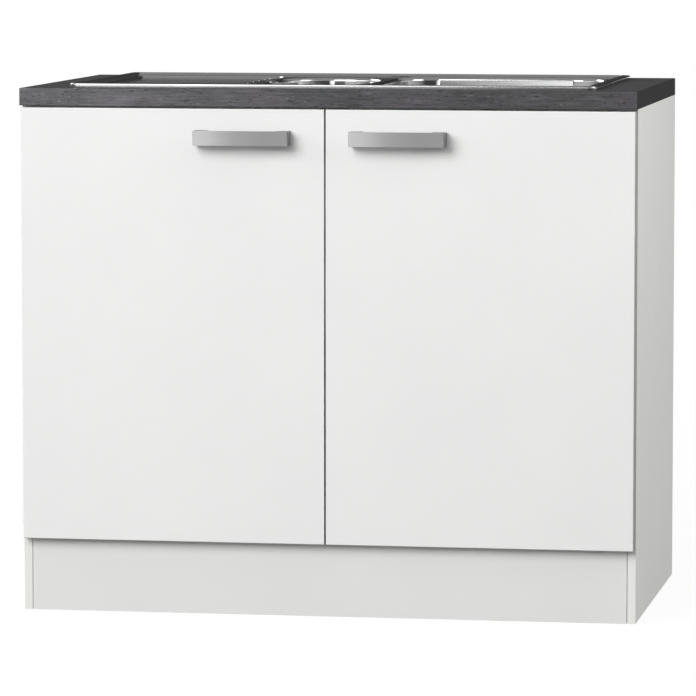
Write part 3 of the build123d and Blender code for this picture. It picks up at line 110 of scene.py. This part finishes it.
def two_tone(tree, factor, low, high):
    """Low where the noise is low and high where it is high, with a soft change between them."""
    return ramp(tree, factor, [(0.3, low), (0.7, high)])


def spread(tree, factor, low, high, start=0.0, end=1.0):
    """A factor from start to end, carried over to the range from low to high."""
    made = put(tree, "ShaderNodeMapRange")
    for name, value in (("From Min", start), ("From Max", end), ("To Min", low), ("To Max", high)):
        made.inputs[name].default_value = value
    tree.links.new(factor, made.inputs["Value"])
    return made.outputs["Result"]


def mixed(tree, factor, first, second, blend="MIX"):
    """Two colours mixed. Each value is a node's output or a plain number or colour."""
    made = put(tree, "ShaderNodeMix", data_type="RGBA", blend_type=blend)
    sockets = (made.inputs["Factor"], made.inputs[6], made.inputs[7])
    for socket, value in zip(sockets, (factor, first, second)):
        if isinstance(value, bpy.types.NodeSocket):
            tree.links.new(value, socket)
        elif isinstance(value, tuple):
            socket.default_value = (*value, 1.0)
        else:
            socket.default_value = value
    return made.outputs[2]


def worked(tree, operation, first, second):
    """The result of a sum on two outputs."""
    made = put(tree, "ShaderNodeMath", operation=operation)
    tree.links.new(first, made.inputs[0])
    tree.links.new(second, made.inputs[1])
    return made.outputs["Value"]


def bumped(tree, shader, height, strength, distance):
    made = put(tree, "ShaderNodeBump", strength=strength, distance=distance)
    tree.links.new(height, made.inputs["Height"])
    tree.links.new(made.outputs["Normal"], shader.inputs["Normal"])


def new_material(name, **sockets):
    """A material with one Principled shader, whose constant values are set on its own sockets."""
    made = bpy.data.materials.new(name)
    made.use_nodes = True
    shader = made.node_tree.nodes["Principled BSDF"]
    for key, value in sockets.items():
        shader.inputs[key.replace("_", " ").title().replace("Ior", "IOR")].default_value = value
    return made, made.node_tree, shader


def coated(tree, shader, colour, rough):
    tree.links.new(colour, shader.inputs["Base Color"])
    tree.links.new(rough, shader.inputs["Roughness"])


def facing(tree, *sides):
    """1 on faces that look along one of the sides, given as (axis, sign), and 0 elsewhere."""
    masks = []
    for axis, sign in sides:
        geometry = put(tree, "ShaderNodeNewGeometry")
        along = part_of(tree, geometry.outputs["True Normal"], axis)
        masks.append(spread(tree, along, 0.0, 1.0, 0.7 * sign, 0.8 * sign))
    found = masks[0]
    for mask in masks[1:]:
        found = worked(tree, "MAXIMUM", found, mask)
    return found


def share_along(tree, piece):
    """0 at a CAD piece's left end and 1 at its right end."""
    low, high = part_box(piece)
    where = put(tree, "ShaderNodeTexCoord")
    return spread(tree, part_of(tree, where.outputs["Object"], "X"), 0.0, 1.0, low[0], high[0])


# ---- white boards ----
WHITE_LOW = (0.842, 0.845, 0.838)
WHITE_HIGH = (0.868, 0.868, 0.862)
PANEL_LOW = (0.842, 0.845, 0.808)
PANEL_HIGH = (0.868, 0.870, 0.834)
# The plinth's white is darker than the other boards: painted shade for its recess under the doors.
PLINTH_SHADED_LOW = (0.785, 0.785, 0.770)
PLINTH_SHADED_HIGH = (0.815, 0.815, 0.802)
# A darker grey for the doors' four narrow sides.
NARROW_SIDE_LOW = (0.42, 0.42, 0.40)
NARROW_SIDE_HIGH = (0.46, 0.46, 0.44)
CHIP_TONES = [
    (0.0, (0.30, 0.19, 0.10)),
    (0.4, (0.52, 0.37, 0.21)),
    (0.75, (0.63, 0.48, 0.30)),
    (1.0, (0.72, 0.58, 0.40)),
]
RAW_ROUGHNESS = 0.9
BACK_AND_FOOT = (("Y", 1), ("Z", -1))
TOP_AND_FOOT = (("Z", 1), ("Z", -1))
FOUR_NARROW_SIDES = (("X", 1), ("X", -1), ("Z", 1), ("Z", -1))


def board(name, low, high):
    """Smooth white melamine. Also gives its colour and roughness, which are not linked yet."""
    made, tree, shader = new_material(name, specular_ior_level=0.45)
    colour = two_tone(tree, noise(tree, (5, 5, 5), detail=4.0), low, high)
    rough = spread(tree, noise(tree, (140, 140, 140), detail=5.0), 0.34, 0.46)
    bumped(tree, shader, noise(tree, (900, 900, 900), detail=2.0), 0.05, 0.0004)
    return made, tree, shader, colour, rough


def plain_board(name):
    made, tree, shader, colour, rough = board(name, WHITE_LOW, WHITE_HIGH)
    coated(tree, shader, colour, rough)
    return made


def raw_edged_board(name, raw_sides, low=WHITE_LOW, high=WHITE_HIGH):
    """White faces, and bare pressed wood chips on the sides that have no white edging."""
    made, tree, shader, white, smooth = board(name, low, high)
    raw = facing(tree, *raw_sides)
    chips = ramp(tree, flakes(tree, 420).outputs["Red"], CHIP_TONES)
    rough = put(tree, "ShaderNodeMix", data_type="FLOAT")
    tree.links.new(raw, rough.inputs["Factor"])
    tree.links.new(smooth, rough.inputs["A"])
    rough.inputs["B"].default_value = RAW_ROUGHNESS
    coated(tree, shader, mixed(tree, raw, white, chips), rough.outputs["Result"])
    return made


def door_board():
    """White faces, and a darker grey on the four narrow sides."""
    made, tree, shader, white, rough = board("white_doors", WHITE_LOW, WHITE_HIGH)
    narrow_sides_grey = two_tone(tree, noise(tree, (40, 40, 40)), NARROW_SIDE_LOW, NARROW_SIDE_HIGH)
    coated(tree, shader, mixed(tree, facing(tree, *FOUR_NARROW_SIDES), white, narrow_sides_grey), rough)
    return made


def hardboard():
    """Brown pressed fibre at the back, and a white face towards the inside."""
    made, tree, shader = new_material("hardboard", roughness=0.55, specular_ior_level=0.3)
    fibre = noise(tree, (160, 900, 160), detail=6.0, roughness=0.7)
    browns = [(0.3, (0.20, 0.115, 0.055)), (0.55, (0.31, 0.19, 0.10)), (0.8, (0.42, 0.28, 0.16))]
    brown = ramp(tree, fibre, browns)
    white = two_tone(tree, noise(tree, (7, 7, 7)), (0.80, 0.80, 0.79), (0.83, 0.83, 0.82))
    colour = mixed(tree, facing(tree, ("Y", 1)), white, brown)
    tree.links.new(colour, shader.inputs["Base Color"])
    bumped(tree, shader, fibre, 0.15, 0.0005)
    return made


# ---- worktop laminate ----
STONE_GREYS = [(0.28, 0.050), (0.46, 0.088), (0.58, 0.104), (0.76, 0.165)]
STONE_PATCHES = [(0.35, (0.84, 0.85, 0.88)), (0.5, (1.0, 0.98, 1.02)), (0.68, (1.14, 1.07, 1.19))]


def laminate(name, painted_light_stops):
    """Dark grey stone look: short streaks along the worktop, pits and faint violet patches.

    Painted light and shade multiplies the print by a factor along the unit's width, given as (share
    of the width, factor) stops."""
    made, tree, shader = new_material(name, specular_ior_level=0.04)
    streak = noise(tree, (26, 340, 340), detail=6.0, roughness=0.72)
    grey = ramp(tree, streak, STONE_GREYS)
    patch = ramp(tree, noise(tree, (7, 22, 22), detail=4.0), STONE_PATCHES)
    pits = ramp(tree, noise(tree, (95, 560, 560)), [(0.62, 1.0), (0.70, 0.22)])
    chalk = ramp(tree, noise(tree, (75, 480, 520)), [(0.66, 0.0), (0.76, 0.16)])
    # Painted light and shade: a factor along the worktop's width that brightens or darkens the print.
    painted_light_factor = ramp(tree, share_along(tree, "worktop"), painted_light_stops)
    cloudy = mixed(tree, 1.0, grey, patch, blend="MULTIPLY")
    pitted = mixed(tree, 0.9, cloudy, pits, blend="MULTIPLY")
    chalky = mixed(tree, 1.0, pitted, chalk, blend="ADD")
    colour = mixed(tree, 1.0, chalky, painted_light_factor, blend="MULTIPLY")
    coated(tree, shader, colour, spread(tree, streak, 0.50, 0.68))
    bumped(tree, shader, streak, 0.10, 0.0004)
    return made


# ---- metals ----
def steel(name, low, high, rough_range, stretch, bump):
    """Brushed or pressed steel, with grain along the axis that stretch leaves long."""
    made, tree, shader = new_material(name, metallic=1.0)
    grain = noise(tree, stretch, detail=6.0, roughness=0.6)
    tint = two_tone(tree, grain, low, high)
    cloud = two_tone(tree, noise(tree, (11, 11, 11)), 0.93, 1.0)
    colour = mixed(tree, 1.0, tint, cloud, blend="MULTIPLY")
    coated(tree, shader, colour, spread(tree, grain, *rough_range, 0.25, 0.75))
    bumped(tree, shader, grain, bump, 0.0003)
    return made


# Metal tone along each handle, from its left end to its right end, with painted shade that darkens
# the right half.
HANDLE_TONES_WITH_PAINTED_SHADE = [(0.0, 0.44), (0.15, 0.41), (0.42, 0.28), (0.75, 0.24), (1.0, 0.25)]
# Near black for the handles' top faces: painted shade.
HANDLE_PAINTED_TOP_SHADE = (0.14, 0.14, 0.14)


def satin_metal(side):
    """Satin cast metal, with painted shade that darkens each handle along its right half and on its
    top faces.
    """
    made, tree, shader = new_material(f"satin_handle_{side}", metallic=1.0)
    # Painted shade: the tone falls from the handle's left end to its right end.
    tone = ramp(tree, share_along(tree, f"handle_{side}"), HANDLE_TONES_WITH_PAINTED_SHADE)
    # Painted shade: the handle's top faces are made near black.
    painted_top_shade = mixed(tree, facing(tree, ("Z", 1)), tone, HANDLE_PAINTED_TOP_SHADE)
    grain = noise(tree, (60, 60, 900), detail=6.0, roughness=0.6)
    flecks = two_tone(tree, grain, 0.95, 1.0)
    colour = mixed(tree, 1.0, painted_top_shade, flecks, blend="MULTIPLY")
    coated(tree, shader, colour, spread(tree, grain, 0.34, 0.44, 0.25, 0.75))
    bumped(tree, shader, grain, 0.02, 0.0003)
    return made


def zinc():
    made, tree, shader = new_material("zinc_steel", metallic=1.0)
    spangle = flakes(tree, 900)
    greys = [(0.0, (0.56, 0.57, 0.58)), (1.0, (0.74, 0.74, 0.73))]
    colour = ramp(tree, spangle.outputs["Red"], greys)
    coated(tree, shader, colour, spread(tree, spangle.outputs["Green"], 0.24, 0.42))
    return made


# ---- plastics, rubber and wood ----
def plastic(name, low, high, rough, bump, scale):
    made, tree, shader = new_material(name, specular_ior_level=0.5)
    grain = noise(tree, (scale, scale, scale))
    colour = two_tone(tree, noise(tree, (20, 20, 20)), low, high)
    coated(tree, shader, colour, spread(tree, grain, rough - 0.06, rough + 0.06))
    bumped(tree, shader, grain, bump, 0.0003)
    return made


def beech():
    made, tree, shader = new_material("beech", roughness=0.55)
    grain = noise(tree, (60, 900, 900), detail=5.0)
    colour = two_tone(tree, grain, (0.50, 0.32, 0.17), (0.70, 0.50, 0.31))
    tree.links.new(colour, shader.inputs["Base Color"])
    bumped(tree, shader, grain, 0.1, 0.0003)
    return made


# ---- the pieces' finishes ----
door_white = door_board()
panel_white = raw_edged_board("white_panels", BACK_AND_FOOT, PANEL_LOW, PANEL_HIGH)
# Painted shade: the plinth gets a darker white than the other boards.
plinth_white_painted_shade = raw_edged_board("white_plinth", BACK_AND_FOOT, PLINTH_SHADED_LOW, PLINTH_SHADED_HIGH)
rail_white = raw_edged_board("white_rails", TOP_AND_FOOT)
# Painted light on the worktop's front edge: brighter at the left end, falling off to the right.
front_edging_painted_light = laminate("worktop_front_edging", [(0.0, 1.75), (0.12, 1.55), (0.5, 1.05), (1.0, 0.90)])
# Painted shade on the worktop's end faces: the same laminate made near black.
end_edging_painted_shade = laminate("worktop_end_edging", [(0.0, 0.10), (1.0, 0.10)])
sink_steel = steel(
    "sink_steel", (0.46, 0.465, 0.47), (0.54, 0.54, 0.54),
    rough_range=(0.07, 0.12), stretch=(9, 260, 260), bump=0.004,
)
bowl_steel = steel(
    "bowl_steel", (0.48, 0.485, 0.49), (0.55, 0.55, 0.55),
    rough_range=(0.14, 0.19), stretch=(90, 90, 90), bump=0.002,
)
waste_steel = steel(
    "waste_steel", (0.62, 0.62, 0.62), (0.72, 0.72, 0.71),
    rough_range=(0.12, 0.22), stretch=(300, 300, 300), bump=0.02,
)
nickel = steel(
    "hinge_nickel", (0.58, 0.57, 0.55), (0.68, 0.66, 0.63),
    rough_range=(0.18, 0.30), stretch=(260, 260, 260), bump=0.03,
)
white_plastic = plastic(
    "white_plastic", (0.80, 0.80, 0.78), (0.84, 0.84, 0.82), rough=0.32, bump=0.05, scale=700,
)
clear_plastic = plastic(
    "clear_plastic", (0.74, 0.75, 0.75), (0.80, 0.80, 0.80), rough=0.22, bump=0.02, scale=500,
)
rubber = plastic(
    "seal_rubber", (0.020, 0.020, 0.020), (0.032, 0.032, 0.032), rough=0.62, bump=0.15, scale=1200,
)

# Each finish of the CAD record, and then the pieces that have a finish of their own.
FINISHES = {
    "white_board": plain_board("white_boards"),
    "hardboard": hardboard(),
    "white_plastic": white_plastic,
    # The worktop gets the laminate at a factor of 0.54: painted shade that keeps its top darker than
    # the front edge.
    "worktop_laminate": laminate("worktop_laminate", [(0.0, 0.54), (1.0, 0.54)]),
    "zinc_steel": zinc(),
    "beech": beech(),
    "sink_steel": sink_steel,
    "seal_rubber": rubber,
    "screw_steel": waste_steel,
    "satin_handle": satin_metal("left"),
    "clear_plastic": clear_plastic,
    "hinge_nickel": nickel,
}
OWN_FINISHES = {
    "door_left": door_white,
    "door_right": door_white,
    "worktop_front_edge": front_edging_painted_light,
    "worktop_end_edges": end_edging_painted_shade,
    "handle_right": satin_metal("right"),
    "side_panel_left": panel_white,
    "side_panel_right": panel_white,
    "bottom_panel": panel_white,
    "plinth_board": plinth_white_painted_shade,
    "front_rail": rail_white,
    "rear_rail": rail_white,
    "main_bowl": bowl_steel,
    "small_bowl": bowl_steel,
    "strainer_flange": waste_steel,
    "strainer_basket": waste_steel,
    "small_waste_flange": waste_steel,
    "overflow_rosette": waste_steel,
}
slots = {row["node"]: row["material_slot"] for row in frame["record"]["subparts"]}
for name, piece in nodes.items():
    finish = OWN_FINISHES.get(name, FINISHES[slots[name]])
    if not piece.material_slots:
        piece.data.materials.append(finish)
    for spot in piece.material_slots:
        spot.material = finish


# ---- floor ----
FLOOR_HALF = 17.0
FLOOR_BOUNCE = (0.14, 0.14, 0.14)
FLOOR_WHITE = (0.97, 0.97, 0.97)
GLOW_NEAR = 0.93
SHADOW_REACH = 1.2
GLOW_REACH = 3.5


def seen_directly(tree):
    """1 for rays of the camera, and of what mirrors and lets through light, 0 for bounced light."""
    rays = put(tree, "ShaderNodeLightPath")
    outputs = rays.outputs
    mirrored = worked(tree, "MAXIMUM", outputs["Is Glossy Ray"], outputs["Is Transmission Ray"])
    return worked(tree, "MAXIMUM", outputs["Is Camera Ray"], mirrored)


def studio_floor():
    """White where it is seen, with a faint shadow near the unit, and grey for bounced light."""
    made, tree, shader = new_material("studio_floor", roughness=0.9, specular_ior_level=0.0)
    seen = seen_directly(tree)
    colour = mixed(tree, seen, FLOOR_BOUNCE, FLOOR_WHITE)
    tree.links.new(colour, shader.inputs["Base Color"])
    where = put(tree, "ShaderNodeTexCoord")
    far = put(tree, "ShaderNodeVectorMath", operation="LENGTH")
    tree.links.new(where.outputs["Object"], far.inputs[0])
    glowing = spread(tree, far.outputs["Value"], GLOW_NEAR, 1.0, SHADOW_REACH, GLOW_REACH)
    glow = put(tree, "ShaderNodeEmission")
    blend = put(tree, "ShaderNodeMixShader")
    tree.links.new(worked(tree, "MULTIPLY", glowing, seen), blend.inputs["Fac"])
    tree.links.new(shader.outputs["BSDF"], blend.inputs[1])
    tree.links.new(glow.outputs["Emission"], blend.inputs[2])
    tree.links.new(blend.outputs["Shader"], tree.nodes["Material Output"].inputs["Surface"])
    return made


floor_mesh = bpy.data.meshes.new("floor")
around = ((-1, -1), (1, -1), (1, 1), (-1, 1))
corners = [(x * FLOOR_HALF, y * FLOOR_HALF, 0) for x, y in around]
floor_mesh.from_pydata(corners, [], [(0, 1, 2, 3)])
floor = bpy.data.objects.new("floor", floor_mesh)
floor_mesh.materials.append(studio_floor())
scene.collection.objects.link(floor)

# ---- studio walls ----
# The walls are three rings, each as (degrees to the right of straight in front, brightness). A
# broad white screen hangs at the left and a fainter one at the right. Below them stand a dim
# screen at the left and a narrow bright one near the middle. The rest of the walls is dark.
HANGING = [
    (-180, 0.05), (-125, 0.2), (-90, 1.2), (-65, 5.0), (-13, 5.0), (-9, 0.5),
    (18, 0.5), (42, 1.1), (60, 1.1), (100, 1.1), (125, 0.2), (180, 0.05),
]
STANDING = [
    (-180, 0.03), (-100, 0.2), (-60, 0.8), (-16, 0.8), (-12, 0.3), (-10.5, 0.03),
    (-8.3, 0.04), (-7.5, 0.8), (-6.8, 2.4), (-6.0, 3.4), (-2, 3.4), (3, 0.08),
    (38, 0.08), (60, 0.5), (100, 0.9), (125, 0.15), (180, 0.03),
]
GROUND = [
    (-180, 0.03), (-60, 0.25), (-30, 0.5), (-22, 2.4), (-12.8, 2.2), (-10.3, 1.2),
    (-8.8, 0.67), (-7.3, 0.19), (-6.5, 0.06), (38, 0.10), (60, 0.8), (100, 1.2),
    (125, 0.15), (180, 0.03),
]
CEILING = (0.45, 0.45, 0.45)
PAPER = (1.0, 1.0, 1.0)
# Heights, as the upward part of the direction, between which one ring goes over to the next.
GROUND_TO_STANDING = (0.005, 0.02)
STANDING_TO_HANGING = (0.18, 0.26)
WALLS_TO_CEILING = (0.20, 0.55)


def studio_world():
    """The rings of walls, a ceiling, and white paper on the ground far behind the unit."""
    made = bpy.data.worlds.new("studio")
    made.use_nodes = True
    sky = made.node_tree
    direction = put(sky, "ShaderNodeTexCoord").outputs["Generated"]
    right = part_of(sky, direction, "X")
    back = part_of(sky, direction, "Y")
    up = part_of(sky, direction, "Z")
    azimuth = worked(sky, "ARCTAN2", right, spread(sky, back, 1.0, -1.0, -1.0, 1.0))
    round_about = spread(sky, azimuth, 0.0, 1.0, -math.pi, math.pi)
    ground, standing, hanging = (
        ramp(sky, round_about, [(0.5 + degrees / 360, value) for degrees, value in ring])
        for ring in (GROUND, STANDING, HANGING)
    )
    walls = mixed(sky, spread(sky, up, 0.0, 1.0, *GROUND_TO_STANDING), ground, standing)
    walls = mixed(sky, spread(sky, up, 0.0, 1.0, *STANDING_TO_HANGING), walls, hanging)
    room = mixed(sky, spread(sky, up, 0.0, 1.0, *WALLS_TO_CEILING), walls, CEILING)
    behind = spread(sky, back, 0.0, 1.0, 0.0, 0.05)
    below = spread(sky, up, 1.0, 0.0, -0.006, 0.0)
    papered = mixed(sky, worked(sky, "MULTIPLY", behind, below), room, PAPER)
    background = sky.nodes["Background"]
    sky.links.new(papered, background.inputs["Color"])
    background.inputs["Strength"].default_value = 1.0
    return made


scene.world = studio_world()

# ---- lamps ----
LAMP_TARGET = Vector((0, 0, 0.45))


def softbox(name, azimuth, elevation, distance, size, watts):
    """A rectangular lamp that looks at the middle of the unit. Azimuth 0 is straight in front."""
    data = bpy.data.lights.new(name, "AREA")
    data.shape = "RECTANGLE"
    data.size, data.size_y = size
    data.energy = watts
    turn = math.radians(azimuth)
    lift = math.radians(elevation)
    level = Vector((math.sin(turn), -math.cos(turn), 0))
    away = level * math.cos(lift) + Vector((0, 0, math.sin(lift)))
    lamp = bpy.data.objects.new(name, data)
    lamp.location = LAMP_TARGET + away * distance
    lamp.rotation_euler = (-away).to_track_quat("-Z", "Y").to_euler()
    scene.collection.objects.link(lamp)


softbox("key", azimuth=-25, elevation=30, distance=6.0, size=(3.2, 3.0), watts=192)
softbox("side", azimuth=75, elevation=38, distance=2.0, size=(0.9, 0.9), watts=9.5)
softbox("back", azimuth=-128, elevation=30, distance=5.0, size=(3.0, 2.5), watts=85)
